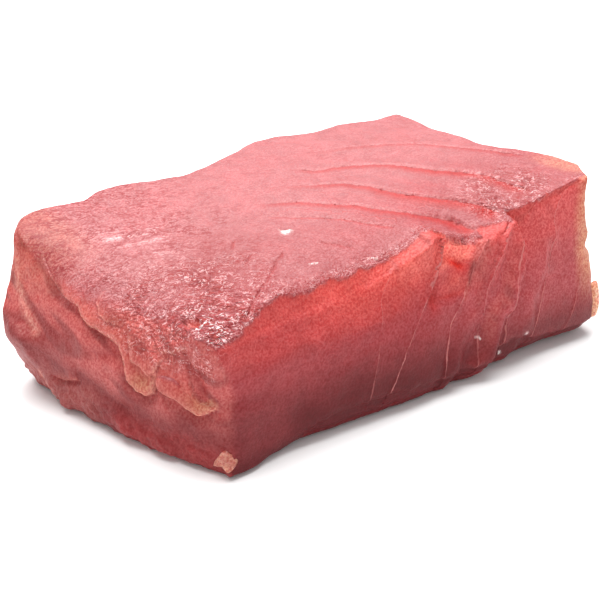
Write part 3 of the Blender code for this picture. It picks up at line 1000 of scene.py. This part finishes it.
def with_sinew(nodes, colour):
    """A pale line along every seam between layers, clear in some places and faint in others."""
    number = nodes.maths("FRACT", nodes.maths("ADD", nodes.field("seam"), 0.5))
    off_seam = nodes.maths("ABSOLUTE", nodes.maths("SUBTRACT", number, 0.5))
    line = nodes.maths("DIVIDE", off_seam, nodes.field("seam_width"))
    sinew = nodes.maths("MULTIPLY", nodes.between(line, 0.3, 1.0, 1.0, 0.0), nodes.field("sinew"))
    patches = nodes.between(nodes.noise(SINEW_PATCHES), 0.32, 0.58, 0.2, 0.8)
    return nodes.mix(nodes.maths("MULTIPLY", sinew, patches), colour, SINEW_PINK)


def fine_relief(nodes, grain, specks, wet):
    """The bump: grain where the flesh is dull, deeper wrinkles where it is wet."""
    wrinkles = nodes.noise(WRINKLE_SIZE, 2.0, (1.0, 1.6, 1.0), (0.0, 0.0, FIBRES_TURN), 1.2)
    wrinkles = nodes.maths("ADD", wrinkles, nodes.maths("MULTIPLY", specks, 0.5))
    height = nodes.add("ShaderNodeMix", {0: wet, 2: grain, 3: wrinkles}, data_type="FLOAT").outputs[0]
    links = {"Height": height, "Distance": 1.3 * MM, "Strength": nodes.between(wet, 0.0, 1.3, 0.2, 1.0)}
    return nodes.add("ShaderNodeBump", links).outputs[0]


def flesh_material():
    """Moist raw tuna: translucent, grained, with coral bands, pale sinew lines, a wet gloss and painted
    glints.
    """
    nodes = Nodes("raw_tuna_flesh")
    wet = nodes.field("wet")
    grain = nodes.noise(GRAIN_SIZE, 3.0)
    specks = nodes.noise(SPECK_SIZE, 2.0, (1.5, 1.0, 1.0), (0.0, 0.0, -FIBRES_TURN), 1.0)
    colour = with_streaks(nodes, nodes.field("tint", "Color"))
    colour = with_bands(nodes, colour)
    colour = with_grain(nodes, colour, grain)
    colour = with_veins(nodes, colour)
    # Painted highlights: glints are painted into the colour where the flesh is wet.
    colour = with_painted_glints(nodes, colour, specks, wet)
    colour = with_sinew(nodes, colour)
    glossy = nodes.maths("ADD", wet, nodes.maths("MULTIPLY", grain, -0.3))
    for socket, value in {
        "Base Color": colour,
        "Roughness": nodes.between(glossy, -0.2, 0.6, 0.46, 0.15),
        "Normal": fine_relief(nodes, grain, specks, wet),
        "IOR": 1.4,
        "Specular IOR Level": 0.38,
        "Subsurface Weight": 0.2,
        "Subsurface Radius": (1.0, 0.3, 0.22),
        "Subsurface Scale": 1.5 * MM,
    }.items():
        nodes.put(nodes.shader.inputs[socket], value)
    return nodes.material


def softened(points, triangles):
    """The solid's points, smoothed where the flesh has soft edges: each place's own share of easing."""
    x, y, z = points.T
    flaps = smooth((-44.0 - x) / 2.0) * smooth((22.0 - y) / 6.0)
    flaps = flaps * smooth((z - 4.0) / 4.0) * smooth((29.5 - z) / 4.0)
    points[:, 0] = averaged(x, triangles, 60, 0.7 * flaps)
    over = smooth((-38.0 - x) / 6.0) * smooth((z - 17.0) / 5.0)
    over = over * smooth((34.0 - y) / 6.0) * smooth((y + 17.0) / 4.0)
    upright = smooth((-34.0 - x) / 4.0) * smooth((-12.0 - y) / 4.0)
    upright = upright * smooth((25.0 - z) / 4.0) * smooth((z - 1.5) / 4.0)
    brow = smooth((9.0 - x) / 5.0) * smooth((x + 47.0) / 4.0)
    brow = brow * smooth((-17.0 - y) / 3.0) * smooth((z - 19.0) / 4.0)
    for share, rounds, axes in ((over, 40, (0, 2)), (upright, 40, (0, 1)), (brow, 30, (1, 2))):
        for axis in axes:
            points[:, axis] = averaged(points[:, axis], triangles, rounds, 0.7 * share)
    return points


def laid_on(flesh, rings, middle, out):
    """A flat piece's points bent onto the flesh, each moved as far as the flesh there is off their plane."""
    near = flesh.points[((flesh.points - middle) ** 2).sum(axis=1) < TAG_NEAR**2] - middle
    height = near @ out
    flat = near - height[:, None] * out
    moved = []
    for place in rings - middle:
        aside = place - (place @ out) * out
        closest = np.argsort(((flat - aside) ** 2).sum(axis=1))[:4]
        moved.append(place + height[closest].mean() * out)
    return np.array(moved) + middle


def make_shred(name, flesh, outline, laid, thick, colours, material):
    """A small closed piece of torn flesh, domed on both sides, laid on the steak's flesh or free of it."""
    outline = np.array(outline)
    loop = eased(np.vstack([outline, outline[:1]]), 5)[:-1]
    middle = loop.mean(axis=0)
    ahead = np.roll(loop, -1, axis=0) - middle
    out = np.cross(loop - middle, ahead).sum(axis=0)
    out /= np.linalg.norm(out)
    out *= -np.sign(out[1])
    rings = []
    for side, shares in ((1.0, SHRED_RINGS), (-1.0, SHRED_RINGS[-2::-1])):
        for inner in shares:
            lift = side * thick * math.sqrt(1.0 - inner**2) * out
            rings.append(middle + inner * (loop - middle) + lift)
    rings = np.vstack(rings)
    if laid:
        rings = laid_on(flesh, rings, middle, out)
    rings += 0.12 * bumps(rings, 1.0, 15.0)[:, None] * out
    around = len(loop)
    ends = [rings[:around].mean(axis=0), rings[-around:].mean(axis=0)]
    points = np.vstack([rings, ends])
    first, last = len(rings), len(rings) + 1
    triangles = []
    for spot in range(around):
        beside = (spot + 1) % around
        triangles.append((first, spot, beside))
        triangles.append((last, len(rings) - around + beside, len(rings) - around + spot))
        for start in range(0, len(rings) - around, around):
            a, b = start + spot, start + beside
            triangles += [(a, a + around, b), (b, a + around, b + around)]
    count = len(points)
    colour = mixed(np.tile(colours[0], (count, 1)), colours[1], 0.5 + 0.8 * bumps(points, 1.4, 51.0))
    values = {"tint": colour, "wet": np.full(count, 0.35), "band_off": np.full(count, -BAND_REACH)}
    new_piece(name, points, np.array(triangles), material, values)


def make_flesh(node, material):
    """The steak itself, in place of the solid, and its two shreds."""
    points, triangles = cad_surface(node)
    flesh = Flesh(*refined(softened(points, triangles), triangles))
    flesh.wet = wetness(flesh)
    make_end(flesh)
    fill_dent(flesh)
    make_slope(flesh)
    make_front(flesh)
    make_notch(flesh)
    make_foot(flesh)
    make_top(flesh)
    make_right_edge(flesh)
    make_uneven(flesh)
    flesh.points[:, 2] = np.maximum(flesh.points[:, 2], 0.0)
    piece = new_piece("steak_flesh", flesh.points, flesh.triangles, material, fields(flesh))
    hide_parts(node.name)
    make_shred("corner_tag", flesh, CORNER_TAG, True, TAG_THICK, (TAG_TAN, TAG_PALE), material)
    # Its colours are partly painted glow of light through the thin shred.
    make_shred("edge_shred", flesh, EDGE_SHRED, False, SHRED_THICK, (SHRED_GLOW_TAN, SHRED_GLOW_PALE), material)


def plain_material(name, colour, roughness):
    """One colour and one roughness, for the floor."""
    nodes = Nodes(name)
    nodes.put(nodes.shader.inputs["Base Color"], (*colour, 1.0))
    nodes.put(nodes.shader.inputs["Roughness"], roughness)
    return nodes.material


def make_stage():
    """A plain white floor, a large soft light above and behind, and white light all round."""
    bpy.ops.mesh.primitive_plane_add(size=FLOOR_SIZE, location=(0.0, 0.0, 0.0))
    floor = bpy.context.object
    floor.name = "floor"
    floor.data.materials.append(plain_material("floor_white", FLOOR_WHITE, FLOOR_ROUGHNESS))
    world = bpy.data.worlds.new("studio")
    world.use_nodes = True
    background = world.node_tree.nodes["Background"]
    background.inputs["Color"].default_value = (1.0, 1.0, 1.0, 1.0)
    background.inputs["Strength"].default_value = WORLD_STRENGTH
    bpy.context.scene.world = world
    add_light("softbox", SOFTBOX_PLACE, SOFTBOX_AIM, SOFTBOX_SIZE, SOFTBOX_POWER)


def add_light(name, place, towards, size, power):
    """A square lamp that shines from a place towards another."""
    light = bpy.data.lights.new(name, "AREA")
    light.shape = "SQUARE"
    light.size = size
    light.energy = power
    lamp = bpy.data.objects.new(name, light)
    lamp.location = place
    lamp.rotation_euler = (Vector(towards) - Vector(place)).to_track_quat("-Z", "Y").to_euler()
    bpy.context.scene.collection.objects.link(lamp)


def make_camera():
    """A camera that looks down on the front left corner."""
    azimuth, elevation = math.radians(CAMERA_AZIMUTH), math.radians(CAMERA_ELEVATION)
    target = Vector(CAMERA_TARGET) * MM
    level = math.cos(elevation)
    back = Vector((math.sin(azimuth) * level, -math.cos(azimuth) * level, math.sin(elevation)))
    camera = bpy.data.cameras.new("camera")
    camera.lens = LENS
    camera.sensor_width = SENSOR
    camera.clip_start = 0.01
    view = bpy.data.objects.new("camera", camera)
    view.location = target + back * CAMERA_DISTANCE * MM
    view.rotation_euler = (-back).to_track_quat("-Z", "Y").to_euler()
    bpy.context.scene.collection.objects.link(view)
    bpy.context.scene.camera = view


def main():
    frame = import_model()
    bpy.context.scene.view_settings.view_transform = "Standard"
    make_camera()
    make_flesh(frame["nodes"]["tuna_steak"], flesh_material())
    make_stage()


main()
